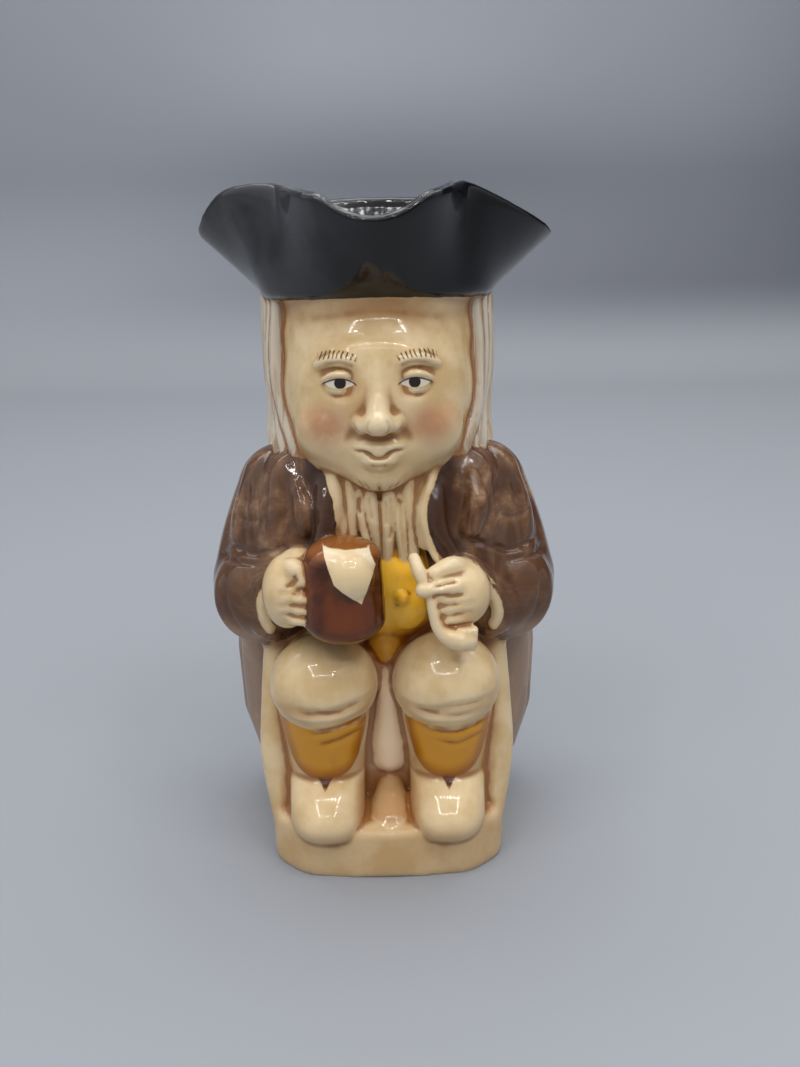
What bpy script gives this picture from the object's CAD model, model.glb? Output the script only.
import math

import bmesh
import bpy
import numpy as np
from mathutils import Euler, Matrix, Vector
from mathutils.bvhtree import BVHTree


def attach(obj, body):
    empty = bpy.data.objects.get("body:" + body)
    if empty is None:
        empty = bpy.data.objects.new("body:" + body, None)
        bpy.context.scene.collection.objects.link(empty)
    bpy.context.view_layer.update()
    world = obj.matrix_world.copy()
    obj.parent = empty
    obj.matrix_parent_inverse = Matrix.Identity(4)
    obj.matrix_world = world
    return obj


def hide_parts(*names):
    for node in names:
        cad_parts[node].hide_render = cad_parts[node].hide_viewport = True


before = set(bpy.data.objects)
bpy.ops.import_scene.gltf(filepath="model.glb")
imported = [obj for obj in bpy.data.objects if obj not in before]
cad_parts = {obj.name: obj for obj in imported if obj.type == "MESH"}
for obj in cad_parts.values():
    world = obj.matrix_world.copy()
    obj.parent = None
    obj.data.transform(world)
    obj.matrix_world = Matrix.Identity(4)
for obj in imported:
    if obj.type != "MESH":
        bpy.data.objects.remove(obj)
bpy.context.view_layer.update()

mm = 0.001  # all sizes of the jug are in millimetres
clay = {}  # paint zone: the clay shapes that get that paint
fused = []  # the clay shapes that are already in the jug
strokes = []  # tool marks waiting to be made

surface = {
    "massVoxel": 0.7, "massSoftening": 12,  # the big shapes run into each other
    "formVoxel": 0.5, "formSoftening": 8,
    "fineVoxel": 0.42, "fineSoftening": 3,  # fingers, lids, strands
    "foot": 0.35,  # everything lower than this is pressed flat
    "triangles": 186000,
    "hiddenShare": 0.35,  # how much of the fineness the back, the underside and the inside keep
    "hiddenWeight": 0.000004,  # how strongly that acts on the thinning
    "frontEnds": (6, 14),  # the front's faces thin out behind this depth, over this distance
    "footEnds": (2, 4),  # and the underside's below this height
    "creaseRounds": (14, 110, 200),  # how far round a point its hollows are sought: fine, broad, wide
    "creaseLimits": (1, 3, 4),  # the deepest hollow of each kind
    "zoneLimit": 8,
    "hiddenSteps": 10,
}


# clay tools

def deselectAll():
    if bpy.context.object and bpy.context.object.mode != "OBJECT":
        bpy.ops.object.mode_set(mode="OBJECT")
    bpy.ops.object.select_all(action="DESELECT")


def choose(*pieces):
    deselectAll()
    for piece in pieces:
        piece.select_set(True)
    bpy.context.view_layer.objects.active = pieces[0]
    return pieces[0]


def keep(zone):
    piece = bpy.context.object
    clay.setdefault(zone, []).append(piece)
    return piece


def selectEdges(wanted):  # in edit mode
    bpy.ops.mesh.select_mode(type="EDGE")
    bpy.ops.mesh.select_all(action="DESELECT")
    piece = bpy.context.object
    mesh = bmesh.from_edit_mesh(piece.data)
    for edge in mesh.edges:
        if wanted(edge.verts[0].co, edge.verts[1].co):
            edge.select_set(True)
    bmesh.update_edit_mesh(piece.data)


def addBall(zone, centre, radii, turn=(0, 0, 0), segments=40):
    bpy.ops.mesh.primitive_uv_sphere_add(
        segments=segments, ring_count=segments // 2 + 4, radius=mm,
        location=Vector(centre) * mm, rotation=[math.radians(a) for a in turn], scale=radii)
    return keep(zone)


def addBalls(zone, centre, radii, turn=(0, 0, 0), segments=40):  # one on each side
    for side in (-1, 1):
        addBall(zone, (side * centre[0], *centre[1:]), radii, (turn[0], side * turn[1], side * turn[2]), segments)


def addDrum(zone, start, end, startRadius, endRadius, widen=1.0):
    start, end = Vector(start) * mm, Vector(end) * mm
    bpy.ops.mesh.primitive_cone_add(
        vertices=64, radius1=startRadius * mm, radius2=endRadius * mm, depth=(end - start).length,
        location=(start + end) / 2, rotation=(end - start).to_track_quat("Z", "Y").to_euler())
    piece = keep(zone)
    bpy.ops.object.transform_apply(location=False, rotation=True, scale=False)
    piece.scale.x = widen
    return piece


def addBlock(zone, centre, size, chamfer=0.0, rounding=0.0, turning=0.0):  # rounding is for all edges
    bpy.ops.mesh.primitive_cube_add(size=1, location=Vector(centre) * mm, scale=Vector(size) * mm)
    piece = keep(zone)
    bpy.ops.object.transform_apply(location=False, rotation=False, scale=True)
    bpy.ops.object.mode_set(mode="EDIT")
    for offset, segments in ((chamfer, 1), (turning, 4)):
        if offset:
            selectEdges(lambda a, b: abs(a.z - b.z) > 0.9 * size[2] * mm)
            bpy.ops.mesh.bevel(offset=offset * mm, segments=segments, affect="EDGES")
    if rounding:
        bpy.ops.mesh.select_all(action="SELECT")
        bpy.ops.mesh.bevel(offset=rounding * mm, segments=4, affect="EDGES")
    bpy.ops.mesh.select_mode(type="VERT")
    bpy.ops.object.mode_set(mode="OBJECT")
    return piece


def addRoll(zone, points, radii):  # a tapering roll with round ends
    if not isinstance(radii, (list, tuple)):
        radii = [radii] * len(points)
    bpy.ops.curve.primitive_bezier_curve_add(location=(0, 0, 0))
    piece = keep(zone)
    curve = piece.data
    curve.bevel_depth = mm
    curve.bevel_resolution = 5
    curve.resolution_u = 10
    curve.use_fill_caps = True
    knots = curve.splines[0].bezier_points
    knots.add(len(points) - 2)
    for knot, point, radius in zip(knots, points, radii):
        knot.co = Vector(point) * mm
        knot.radius = radius
        knot.handle_left_type = knot.handle_right_type = "AUTO"
    for point, radius in ((points[0], radii[0]), (points[-1], radii[-1])):
        addBall(zone, point, (radius,) * 3, segments=20)
    return piece


def addRolls(zone, points, radii):  # one on each side
    for side in (-1, 1):
        addRoll(zone, [(side * x, y, z) for x, y, z in points], radii)


def addLoft(zone, rings):  # a filled ring, extruded up from one section to the next
    bpy.ops.mesh.primitive_circle_add(vertices=len(rings[0]), radius=1, fill_type="NGON")
    piece = keep(zone)
    places = piece.data.attributes.new("place", "INT", "POINT")  # extruded corners keep their number
    places.data.foreach_set("value", list(range(len(rings[0]))))
    bpy.ops.object.mode_set(mode="EDIT")
    for step, ring in enumerate(rings):
        if step:
            bpy.ops.mesh.extrude_region_move(TRANSFORM_OT_translate={"value": (0, 0, mm)})
        else:
            bpy.ops.mesh.select_all(action="SELECT")
        mesh = bmesh.from_edit_mesh(piece.data)
        place = mesh.verts.layers.int["place"]
        for vert in mesh.verts:
            if vert.select:
                vert.co = Vector(ring[vert[place]]) * mm
        bmesh.update_edit_mesh(piece.data)
    bpy.ops.mesh.select_all(action="SELECT")
    bpy.ops.mesh.normals_make_consistent(inside=False)
    bpy.ops.object.mode_set(mode="OBJECT")
    piece.data.attributes.remove(piece.data.attributes["place"])
    return piece


def mark(points, width, depth):  # a groove along a smooth line, or a ridge if depth is below 0
    strokes.append((points, width, depth))


def marks(points, width, depth):  # the same on each side
    for side in (-1, 1):
        mark([(side * x, y, z) for x, y, z in points], width, depth)


def smoothLine(points, steps=12):  # a Catmull-Rom line through the points
    p = [Vector(points[0]), *map(Vector, points), Vector(points[-1])]
    line = []
    for a, b, c, d in zip(p, p[1:], p[2:], p[3:]):
        for i in range(steps):
            t = i / steps
            line.append(0.5 * (2 * b + (c - a) * t + (2 * a - 5 * b + 4 * c - d) * t * t
                               + (3 * b - a - 3 * c + d) * t ** 3))
    line.append(p[-1])
    return line


ringPoints = 144


def ringAngles():
    return [2 * math.pi * i / ringPoints for i in range(ringPoints)]


def oval(height, middleY, halfWidth, halfDepth, squareness=2.0):
    ring = []
    for angle in ringAngles():
        across, along = math.sin(angle), -math.cos(angle)
        reach = (abs(across) ** squareness + abs(along) ** squareness) ** (-1 / squareness)
        ring.append((halfWidth * across * reach, middleY + halfDepth * along * reach, height))
    return ring


# reading and moving the fused surface

def readVectors(mesh, kind):
    values = np.zeros(len(mesh.vertices) * 3, np.float32)
    mesh.vertices.foreach_get(kind, values)
    return values.reshape(-1, 3).astype(float)


def readPoints(mesh):
    return readVectors(mesh, "co") / mm


def writePoints(mesh, co):
    mesh.vertices.foreach_set("co", (co * mm).astype(np.float32).ravel())
    mesh.update()


def readNormals(mesh):
    return readVectors(mesh, "normal")


def readEdges(mesh):
    ends = np.zeros(len(mesh.edges) * 2, np.int32)
    mesh.edges.foreach_get("vertices", ends)
    return ends.reshape(-1, 2)


def relaxed(values, ends, rounds, share=0.5):  # each value moves towards the mean of its neighbours
    values = values.copy()
    count = np.maximum(np.bincount(ends.ravel(), minlength=len(values)), 1)
    columns = values.reshape(len(values), -1)
    for _ in range(rounds):
        for k in range(columns.shape[1]):
            v = columns[:, k]
            total = (np.bincount(ends[:, 0], v[ends[:, 1]], len(v))
                     + np.bincount(ends[:, 1], v[ends[:, 0]], len(v)))
            columns[:, k] = v + share * (total / count - v)
    return columns.reshape(values.shape)


def softenAround(piece, spots):  # rub the clay smooth inside some ovals, on each side
    mesh = piece.data
    co, ends = readPoints(mesh), readEdges(mesh)
    spots = [((side * x, y, z), radii, rounds) for (x, y, z), radii, rounds in spots
             for side in ((-1, 1) if x else (1,))]
    for centre, radii, rounds in spots:
        inside = np.linalg.norm((co - centre) / radii, axis=1)
        share = 0.5 * np.clip(2.5 - 2.5 * inside, 0, 1)
        near = np.flatnonzero(inside < 1.15)
        number = np.full(len(co), -1)
        number[near] = np.arange(len(near))
        local = number[ends]
        local = local[(local >= 0).all(1)]
        co[near] = relaxed(co[near], local, rounds, share[near])
    writePoints(mesh, co)


def makeMarks(piece):
    mesh = piece.data
    co, no = readPoints(mesh), readNormals(mesh)
    push = np.zeros(len(co))
    for line, width, depth in strokes:
        line = np.array([tuple(piece.closest_point_on_mesh(p * mm)[1] / mm) for p in smoothLine(line)])
        low, high = line.min(0) - width, line.max(0) + width
        near = np.flatnonzero(((co > low) & (co < high)).all(1))
        p = co[near]
        best = np.full(len(p), 1e9)
        share = np.zeros(len(p))
        for k, (a, b) in enumerate(zip(line, line[1:])):
            ab = b - a
            t = np.clip(((p - a) @ ab) / max(ab @ ab, 1e-9), 0, 1)
            d = np.linalg.norm(p - a - t[:, None] * ab, axis=1)
            closer = d < best
            best[closer] = d[closer]
            share[closer] = (k + t[closer]) / (len(line) - 1)
        fade = np.clip(4 * np.minimum(share, 1 - share) + 0.2, 0, 1)
        push[near] -= depth * fade * np.clip(1 - (best / width) ** 2, 0, 1) ** 2
    strokes.clear()
    writePoints(mesh, co + no * push[:, None])


def applyModifier(piece, kind, **settings):
    choose(piece)
    bpy.ops.object.modifier_add(type=kind)
    modifier = piece.modifiers[-1]
    for name, value in settings.items():
        setattr(modifier, name, value)
    bpy.ops.object.modifier_apply(modifier=modifier.name)


def fuse(body, voxel, softening):  # all new clay becomes one skin with what is there
    fresh = [piece for pieces in clay.values() for piece in pieces if piece not in fused]
    fused.extend(fresh)
    choose(*fresh)
    bpy.ops.object.duplicate()
    bpy.context.view_layer.objects.active = bpy.context.selected_objects[0]
    bpy.ops.object.convert(target="MESH")
    if body:
        body.select_set(True)
        bpy.context.view_layer.objects.active = body
    bpy.ops.object.join()
    bpy.ops.object.transform_apply(location=True, rotation=True, scale=True)
    body = bpy.context.object
    applyModifier(body, "REMESH", mode="VOXEL", voxel_size=voxel * mm)
    applyModifier(body, "SMOOTH", iterations=softening)
    return body


def joinZone(zone):
    choose(*clay[zone])
    bpy.ops.object.convert(target="MESH")
    bpy.ops.object.join()
    bpy.ops.object.transform_apply(location=True, rotation=True, scale=True)
    bpy.context.object.name = zone + "Clay"
    return bpy.context.object


# base and seat

base = {
    "halfWidth": 30.0,
    "front": -36.4,
    "back": 34.5,
    "height": 14.0,
    "chamfer": 9.4,
    "turning": 3.8,
    "rounding": 2.2,
    "bow": (21.5, 1.3),  # half width and depth of the swell on the front face
}


def makeBase():
    b = base
    middle, depth = (b["front"] + b["back"]) / 2, b["back"] - b["front"]
    addBlock("cream", (0, middle, b["height"] / 2 - 0.4), (2 * b["halfWidth"], depth, b["height"] + 0.8),
             b["chamfer"], b["rounding"], b["turning"])
    swell = addDrum("cream", (0, b["front"] + 4, 0), (0, b["front"] + 4, b["height"] - 1), b["bow"][0], b["bow"][0])
    swell.scale.y = (b["bow"][1] + 4) / b["bow"][0]
    addBlock("cream", (0, 1.5, 35), (60, 36, 50), 5, 2)
    addRolls("cream", [(27, -23, 11), (28.4, -20.5, 28), (27.6, -16.5, 46), (27, -14, 58)], [3.6, 4.6, 4.6, 4.2])
    addRolls("cream", [(24.6, -21.4, 12), (25, -20.8, 28), (25, -17.4, 46)], [4, 4, 3.6])


panel = {  # the rounded panel between the legs
    "line": ((0.7, -20.4, 26.6), (0.7, -21.1, 31.6), (0.7, -22.8, 40), (0.4, -22.6, 49), (0.4, -19, 53)),
    "radii": (4.9, 4.9, 3.2, 1.8, 1.6),
}


def makePanel():
    addBlock("cream", (0.7, -18.8, 31), (15, 8, 32), 0, 1.5)
    addRoll("cream", panel["line"], panel["radii"])
    addRoll("cream", [(0.7, -20.6, 20.4), (0.7, -25.4, 15.8), (0.7, -30, 10.6)], [2.6, 4.8, 6.4])
    addBall("cream", (0.7, -26.2, 10.8), (8.8, 10.6, 5.8), (27, 0, 0))
    addBall("cream", (-0.4, -17, 50.5), (6.6, 6, 6.4))


# legs

leg = {
    "spacing": 15.3,
    "knee": (13.6, 13.2, 12.4),
    "hem": (11.6, 11.4, 4.2),
    # height, front, half width, squareness
    "shoe": ((9.4, -36.4, 6.6, 2.4), (10.2, -37.8, 7.8, 2.4), (11.0, -38.9, 8.5, 2.4), (12.2, -39.8, 9.1, 2.4),
             (13.6, -40.2, 9.4, 2.4), (15, -40.2, 9.6, 2.3), (16.4, -39.8, 9.6, 2.2), (17.6, -39.2, 9.6, 2.1),
             (18.8, -38.3, 9.6, 2.1), (20, -37.2, 9.6, 2.0), (21.2, -35.9, 9.6, 2.0), (22.3, -34.5, 9.6, 2.0),
             (23.2, -33.1, 9.6, 2.0), (24, -31.8, 9.6, 2.0), (24.8, -30.9, 9.6, 2.0), (27, -30.8, 9.6, 2.1)),
    "stocking": ((21, -28, 9.4, 2.0), (25, -31.0, 9.6, 2.0), (30, -32.4, 9.9, 2.2), (36, -34.3, 10.7, 2.3),
                 (44, -36.6, 11.9, 2.3)),
    "back": -15.0,
    "middle": 15.6,  # the painted stocking and shoe lie about this line
    "throatFoot": 22.5,
    "throatSlope": 0.72,
    "sockFoot": 25.4,
}


def makeThighs():
    x = leg["spacing"]
    addRolls("cream", [(x, -2, 49), (x, -16, 48.7), (x, -22, 48)], [12.6, 13, 12.6])


def makeLegs():
    x = leg["spacing"]
    addBalls("cream", (x, -26.5, 49.5), leg["knee"])
    addBalls("cream", (x, -27.4, 45.7), leg["hem"])
    for side in (-1, 1):
        for zone, rows in (("cream", leg["shoe"]), ("amber", leg["stocking"])):
            rings = [oval(z, (front + leg["back"]) / 2, width, (leg["back"] - front) / 2, squareness)
                     for z, front, width, squareness in rows]
            addLoft(zone, [[(side * (x + 0.1) + across, y, z) for across, y, z in ring] for ring in rings])
    mark([(-21.4, -36, 48.0), (-18.3, -38, 46.7), (-13.8, -39.8, 46.3), (-11.2, -39.6, 46.9), (-7.4, -37.4, 48.0),
          (-4.3, -31.4, 48.6)], 2.0, 0.6)
    mark([(-17.8, -39, 47.8), (-13.8, -40, 46.4), (-9, -39, 45.4)], 1.4, 0.3)
    mark([(-23.4, -33, 46.4), (-18, -38.4, 44.7), (-12, -39.4, 44.6), (-6.4, -36, 45.8)], 1.4, -0.35)
    mark([(5.6, -32, 47.8), (11.1, -38, 46.7), (15.9, -39.8, 47.8), (20.9, -37.4, 48.2), (25.4, -31, 48.6)], 2.0, 0.6)
    mark([(8.6, -36.6, 46.4), (14.7, -39.4, 45.2), (20.5, -37.4, 45.8), (24, -33, 47)], 1.5, 0.4)
    mark([(9, -36, 44.4), (15, -39.4, 43.6), (21, -36.6, 44.4)], 1.3, -0.3)
    mark([(-19.4, -35, 39.4), (-12.5, -37, 40.4), (-7.7, -35.4, 41.8), (-5, -31, 42.6)], 2.1, 0.42)
    mark([(-17, -36, 35.6), (-12, -36.6, 36.4), (-8.4, -34.8, 37.8), (-5.6, -31, 39.4)], 2.1, 0.38)
    mark([(-18.6, -35, 37.4), (-12.4, -36.8, 38.3), (-8, -35.2, 39.8), (-5.2, -31, 41)], 1.7, -0.3)
    mark([(11, -35, 38.6), (17.2, -36.8, 36.9), (21.6, -34.8, 38.3), (24.8, -30.6, 39.9)], 1.7, -0.3)
    mark([(9.6, -35, 40.6), (16.8, -37, 38.8), (21, -35.4, 40.0), (25, -30.6, 41.4)], 2.1, 0.42)
    mark([(12, -36, 36.8), (17.6, -36.4, 35.0), (22, -34, 36.6), (24.6, -30.6, 38.4)], 2.1, 0.38)


# coat and arms; right and left are the figure's own

coat = {
    # height, middle, half width, half depth, squareness
    "skirt": ((8, 13, 30.5, 20.5, 3.2), (15, 13.5, 36.6, 20.5, 3.0), (28, 13, 40.4, 21.5, 2.8),
              (47, 12, 41.2, 22.5, 2.6), (66, 11, 39.2, 23, 2.6), (82, 9, 36.2, 22, 2.4),
              (96, 6, 28.4, 19, 2.2), (106, 3, 19, 15, 2.0)),
    "shoulder": (12.8, 14, 12.8),
    "rightEdge": ((-13.6, -21.5, 102), (-13.4, -25.2, 95), (-13.6, -26.4, 88.5), (-16.6, -26.6, 82)),
    "leftEdge": ((13.6, -21.5, 101), (13.2, -25.2, 95), (14.0, -26.6, 88), (17.2, -26.6, 82)),
    "rightCuff": ((-17.5, -27.4, 83.4), (-24, -26.6, 80.4), (-28.8, -25, 76.6), (-32, -23, 71.3), (-32.2, -22.5, 66),
                  (-30.6, -22.5, 62.2), (-27, -22, 60)),
    "leftCuff": ((16.5, -27.4, 82.4), (21.7, -26.5, 79.6), (26.2, -25, 75), (29.6, -23, 69), (30.6, -22.5, 65.2),
                 (29.4, -22.5, 62.2), (26.5, -22, 60)),
}


def makeCoat():
    addLoft("coat", [oval(*row) for row in coat["skirt"]])
    addBalls("coat", (24.2, 4, 91.5), coat["shoulder"])
    addRolls("coat", [(15.5, -18.2, 101), (15.4, -19.6, 90), (17, -20, 76)], [4.6, 5.2, 5.2])
    addRolls("coat", [(21.5, -13.6, 99), (22.5, -16, 88), (23.5, -16.5, 76)], [7.6, 8.2, 8])
    addRolls("coat", [(26.5, -6, 97), (29.5, -8, 86), (30.5, -9, 76)], [9, 9.5, 9])
    addRolls("coat", [(25.9, 4, 92), (30.4, 1, 80), (33.2, -2, 69)], [12.2, 12.1, 12.1])
    for side in (-1, 1):
        addDrum("coat", (side * 33.6, -1, 66), (side * 30.4, -15, 69.6), 12.2, 13.3, 0.96)
    addBalls("coat", (29.6, -14.6, 69.6), (12.6, 10.4, 12.6))
    mark([(0, 33, 62), (0, 36, 40), (0, 35, 12)], 1.4, 1.3)
    marks([(13, 33, 58), (15, 35.5, 40), (17, 34, 12)], 1.8, 0.9)
    marks([(36, 20, 62), (38, 18, 44), (36, 16, 14)], 2.0, 0.9)
    marks([(39, 4, 56), (39.5, 5, 36), (36, 6, 16)], 1.8, 0.8)
    mark([(-34, 22, 60), (-20, 32, 58.5), (0, 35, 58), (20, 32, 58.5), (34, 22, 60)], 1.2, 0.9)
    marks([(34, -12, 99), (34.5, -14, 90), (35.5, -15, 80)], 2.6, 0.9)


def makeCoatFronts():
    addRoll("coat", coat["rightEdge"], [1.9, 2.5, 2.5, 2.2])
    addRoll("coat", coat["leftEdge"], [1.9, 2.4, 2.5, 2.2])
    addRoll("coat", coat["rightCuff"], [1.5, 1.9, 1.9, 1.8, 1.8, 1.7, 1.5])
    addRoll("coat", coat["leftCuff"], [1.5, 1.9, 1.9, 1.8, 1.8, 1.7, 1.5])
    addRoll("coat", [(22.4, -21, 101), (23.2, -23.4, 94), (21.8, -24.6, 88.4)], [1.8, 3.0, 2.6])
    addRoll("coat", [(-20.5, -20.6, 100), (-18.8, -23.6, 94), (-18.6, -24.2, 89)], [1.6, 2.6, 2.2])
    addBalls("coat", (9, 33.6, 61.5), (2.1, 1.6, 2.1), segments=20)
    marks([(28.2, -16, 102), (29, -19, 95), (28.6, -20.5, 88)], 1.6, 0.7)
    mark([(19.6, -24, 100), (19.2, -26, 93), (19.0, -27, 87)], 1.3, 0.6)
    mark([(-24.4, -21, 101), (-23.6, -24, 95), (-24.4, -25, 88)], 1.5, 0.55)
    mark([(-15.4, -27, 97), (-16.2, -28, 91)], 1.2, 0.4)
    marks([(40, -8, 82), (34, -17, 81), (28, -23, 83), (20, -27, 86.4)], 1.4, 0.9)
    marks([(42, -6, 78), (37, -16, 78), (31, -22, 79.6)], 1.3, 0.9)
    marks([(37.5, -17, 74), (37, -19, 68), (35, -19, 61)], 1.4, 0.7)
    marks([(41, -12, 74), (41, -14, 68), (38, -15, 60)], 1.5, 0.8)
    marks([(38, -10, 90), (34, -16, 89), (29, -20, 91)], 1.3, 0.5)
    marks([(38, -9, 94), (33.5, -15, 94), (29, -18, 97)], 1.3, 0.3)
    mark([(30, -20, 86), (25, -24, 84.6), (20, -26, 84.8)], 1.1, 0.5)
    for x, z, run in ((20.5, 85.6, 4.5), (23, 84.6, 5), (25.4, 84.2, 5.5), (27.6, 82.6, 5.5), (29.4, 80, 5),
                      (31, 77, 5), (31.8, 74, 4)):  # the creases round the cuff
        mark([(x, -30, z), (x + 0.45 * run, -29, z - 0.5 * run), (x + 0.8 * run, -27.5, z - 1.1 * run)], 0.9, 0.6)


# hands, mug and pipe

hands = {
    "rightFist": ((-22.9, -31.0, 75.6), (6.2, 8.6, 9.2)),  # centre, radii
    "leftFist": ((18.6, -31.2, 74.4), (7.6, 8.4, 8.4)),
    "rightRows": (76.2, 73.4, 70.7),
    "leftRows": (75.6, 73.2, 70.5),
}


def makeFists():
    addBall("cream", *hands["rightFist"])
    addBall("cream", *hands["leftFist"])
    addBall("cream", (-20.6, -29, 80.2), (5.2, 7.4, 5.4))
    addRoll("cream", [(-20, -27.2, 81.6), (-26.4, -26, 77), (-29.6, -24.8, 71.4), (-29.6, -24.2, 66), (-28.2, -24, 63)],
            [1.3, 1.4, 1.4, 1.3, 1.0])
    addRoll("cream", [(20, -27.4, 79.6), (24.4, -26.2, 75.6), (27.6, -24.8, 70), (28.2, -24.2, 65.6), (27.2, -24, 63)],
            [1.2, 1.4, 1.4, 1.3, 1.0])
    addRoll("cream", [(22, -33.4, 77.6), (17, -37.4, 78.2), (10.2, -39.8, 78.1)], [3.0, 2.4, 1.9])
    addBall("cream", (9.4, -39.8, 78.1), (1.9, 1.9, 1.9), segments=24)
    addRoll("cream", [(19.6, -31.4, 80.4), (16.4, -35.0, 82.2), (12.4, -37.4, 81.4)], [2.8, 2.6, 2.0])
    addRoll("cream", [(-22.4, -33.6, 82.2), (-20.2, -36.2, 82.6), (-18.6, -37.6, 80.4)], [2.6, 2.5, 1.8])
    for height in hands["rightRows"]:
        addRoll("cream", [(-22.4, -37.0, height - 0.1), (-20.4, -38.1, height), (-18, -38.6, height)], [1.3, 1.5, 1.5])
    for height in hands["leftRows"]:
        start = 13.8 + 0.45 * (73 - height)
        addRoll("cream", [(20.6, -36.8, height - 0.2), (17.4, -38.1, height), (start, -38.8, height)], [1.3, 1.65, 1.6])


def makeFingers():  # the lines between them, after the fists are fused
    for middle in (78.4, 74.8, 72.0):
        mark([(-25, -40, middle - 0.2), (-22.4, -40.4, middle), (-20, -41, middle), (-17.4, -42, middle)], 1.1, 0.22)
    mark([(22.4, -39, 71.9), (19, -40.4, 71.8), (16, -41.6, 71.8), (13, -42, 71.7)], 1.1, 0.15)
    mark([(22.6, -39, 74.8), (19.6, -40, 74.6), (16, -41.6, 74.4), (12.8, -42, 74.4)], 1.1, 0.15)
    mark([(19.6, -40, 76.9), (17, -41, 76.5), (14, -42, 76.5), (11.4, -42, 76.4)], 1.0, 0.35)
    mark([(-21.6, -41, 82.0), (-21.3, -41.4, 79.8)], 1.3, 0.5)
    mark([(18.4, -40, 81.0), (16, -41, 80.8), (12.2, -42, 79.9)], 0.9, 0.55)


mug = {
    "foot": (-9.3, -35.0, 70.0),
    "top": (-9.3, -34.4, 85.0),
    "radius": 10.1,
    "neck": 9.3,
    "brim": (85.6, 87.4),  # where its paint ends
    "froth": ((-13.7, 89.0), (-10.9, 81.4), (-4.7, 76.3), (-1.3, 84.7), (-2.8, 88.3)),  # corners: across, up
}


def makeMugAndPipe():
    m = mug
    addDrum("mug", m["foot"], m["top"], m["radius"], m["neck"])
    addBall("mug", (m["foot"][0], m["foot"][1], m["foot"][2] + 0.4), (m["radius"], m["radius"], 6.4), segments=64)
    addBall("mug", (-9.1, -34.4, 84.8), (9.25, 9.25, 5.0), segments=64)
    addBall("mug", (-7.4, -40.6, 81.8), (5.8, 5.0, 6.4))
    addRoll("cream", [(7.7, -35.6, 84.6), (8.6, -37.6, 82.4), (9.9, -38.8, 79.4)], [1.5, 1.7, 1.5])
    addRoll("cream", [(11.4, -39.4, 77), (12.2, -39.8, 72), (13.2, -40, 68.6), (15.4, -40, 66.4), (18.2, -39.8, 65.4),
                      (19.8, -39.4, 65.4)], [1.4, 1.5, 1.6, 2.2, 2.7, 2.7])
    addDrum("cream", (20.2, -39.2, 62.6), (20.2, -38.8, 68.3), 2.0, 2.5)
    addRoll("cream", [(16, -38.8, 66), (20, -38.4, 66)], [2.2, 2.4])


# chest

chest = {
    "pleats": (  # top, bottom, radius; the depth is set by the chest behind
        ((-7.4, 102), (-7.0, 95.6), (-7.2, 87.0), 1.6),
        ((-5.2, 102), (-5.0, 96.5), (-3.7, 86.0), 1.35),
        ((-2.6, 102), (-2.3, 95.5), (-0.9, 82.4), 1.65),
        ((2.2, 102), (2.0, 95.4), (1.2, 79.8), 1.8),
        ((4.4, 100), (4.4, 92.6), (5.4, 79.6), 1.45),
        ((6.8, 102), (6.4, 96.5), (7.8, 82.4), 1.85),
    ),
    "button": (4.8, -27.4, 71.8),
}


def makeChest():
    addBall("amber", (1.5, -7, 73), (15.5, 20, 21))
    addBall("cream", (0, -11.6, 91), (19, 13.4, 17))


def makePleats():
    pleats = chest["pleats"]
    for *line, radius in pleats:
        depths = [-11.6 - 14 * math.sqrt(max(0, 1 - (x / 19) ** 2 - ((z - 91) / 17) ** 2)) for x, z in line]
        depths = [min(depth, -23.6) - 0.3 for depth in depths]
        addRoll("cream", [(x, depth, z) for (x, z), depth in zip(line, depths)], [radius * 0.9, radius, radius * 0.8])
    for first, second in zip(pleats, pleats[1:]):
        mark([((a[0] + b[0]) / 2, -30, (a[1] + b[1]) / 2) for a, b in zip(first[:3], second[:3])], 1.0, 0.4)


def makeShirt():
    c = chest
    addRoll("cream", [(-12.6, -23, 103.4), (-11.1, -24.6, 99.9), (-10.8, -25.4, 94.2), (-11.8, -26.4, 88.4)],
            [0.9, 1.4, 1.5, 0.7])
    addRoll("cream", [(13.2, -23, 103), (11.6, -24.8, 98.4), (10.4, -26.2, 92.8), (11.4, -27.0, 87),
                      (13.4, -27.8, 81.6), (15.4, -28.2, 80)], [0.8, 1.2, 1.2, 1.1, 1.0, 0.8])
    for side, line in ((-1, ((9.4, -21.4, 103), (9.0, -23.4, 96), (9.6, -24.6, 88))),
                       (1, ((9.4, -21.4, 103), (8.8, -24.0, 94), (10.6, -25.2, 85)))):
        addRoll("cream", [(side * x, y, z) for x, y, z in line], 1.8)
    addBall("amber", c["button"], (1.7, 1.2, 1.7), segments=24)
    addBall("amber", (5.6, -23.4, 68.0), (5.6, 3.6, 6.0))
    addBall("amber", (4.0, -22.8, 77.0), (4.8, 3.6, 4.4))
    addBall("amber", (0.8, -15.4, 57), (6.2, 8.6, 9))


# head, face and hair

head = {
    "face": (23.4, 21.2, 23.5),
    "brow": 129.7,  # heights of the features
    "eye": 125.6,
    "nose": 115.0,
    "mouth": 109.2,
    "eyeSpacing": 8.7,
    "eyeball": 4.1,
    "eyeWhite": (3.5, 1.25),  # half widths and half heights of what is painted
    "pupil": 1.4,
    "cheek": (12.6, 115.8),
    "cheekSize": (7.4, 6.6),
    "blush": 0.8,
}


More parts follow.
